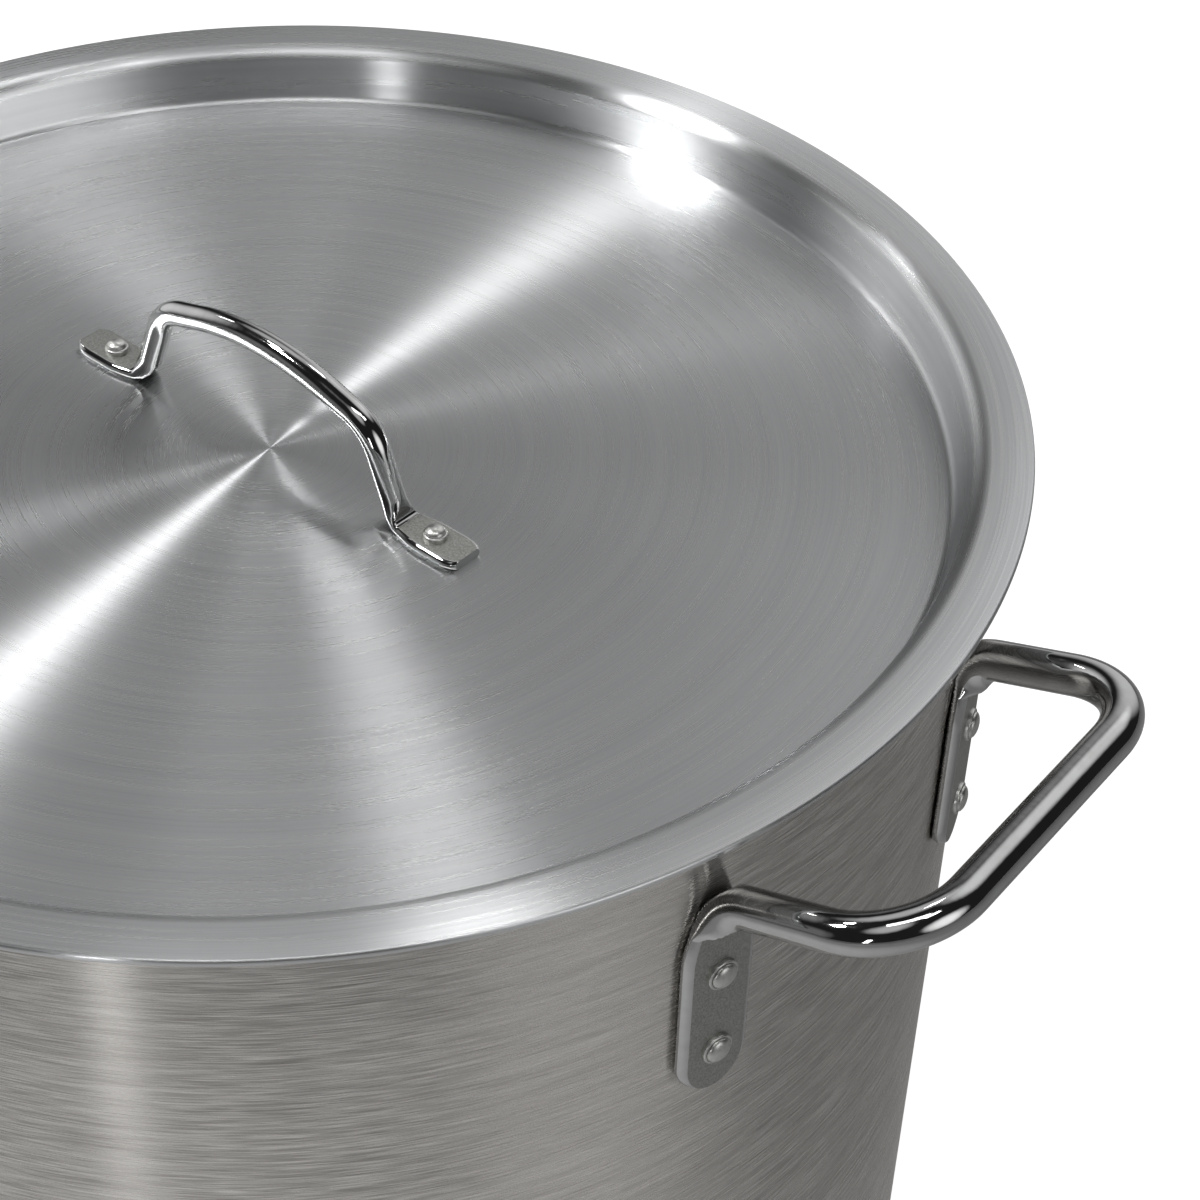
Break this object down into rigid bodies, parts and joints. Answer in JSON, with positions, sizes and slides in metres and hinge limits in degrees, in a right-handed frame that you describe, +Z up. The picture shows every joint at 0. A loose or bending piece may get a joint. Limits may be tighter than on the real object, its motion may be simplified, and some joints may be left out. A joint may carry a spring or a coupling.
{
  "type": "stock pot",
  "caption": "Tall straight-walled aluminium stock pot with riveted loop handles and a loose recessed lid with an arched pull handle.",
  "frame": {"origin": "centre of the base, on the surface that the pot stands on", "axes": "+Z up along the pot's axis; the two loop handles stand on the X axis"},
  "size_m": [0.552, 0.46, 0.4163],
  "materials": {
    "brushed_wall": "satin aluminium, brushed round the wall",
    "spun_lid": "satin aluminium, spun, with fine turning rings",
    "plated_rod": "bright chromium plating on steel rod",
    "rivet": "dull tumbled aluminium"
  },
  "bodies": {
    "pot": {"pot_body": "brushed_wall", "loop_handle_right": "plated_rod", "loop_handle_left": "plated_rod", "body_rivet_right_back_upper": "rivet", "body_rivet_right_back_lower": "rivet", "body_rivet_right_front_upper": "rivet", "body_rivet_right_front_lower": "rivet", "body_rivet_left_back_upper": "rivet", "body_rivet_left_back_lower": "rivet", "body_rivet_left_front_upper": "rivet", "body_rivet_left_front_lower": "rivet"},
    "lid": {"lid": "spun_lid", "lid_handle": "plated_rod", "lid_rivet_left": "rivet", "lid_rivet_right": "rivet"}
  },
  "joints": [
    {"name": "lid_lift", "type": "slide", "parent": "pot", "child": "lid", "axis": [0, 0, 1], "range_m": [0, 0.12]}
  ]
}
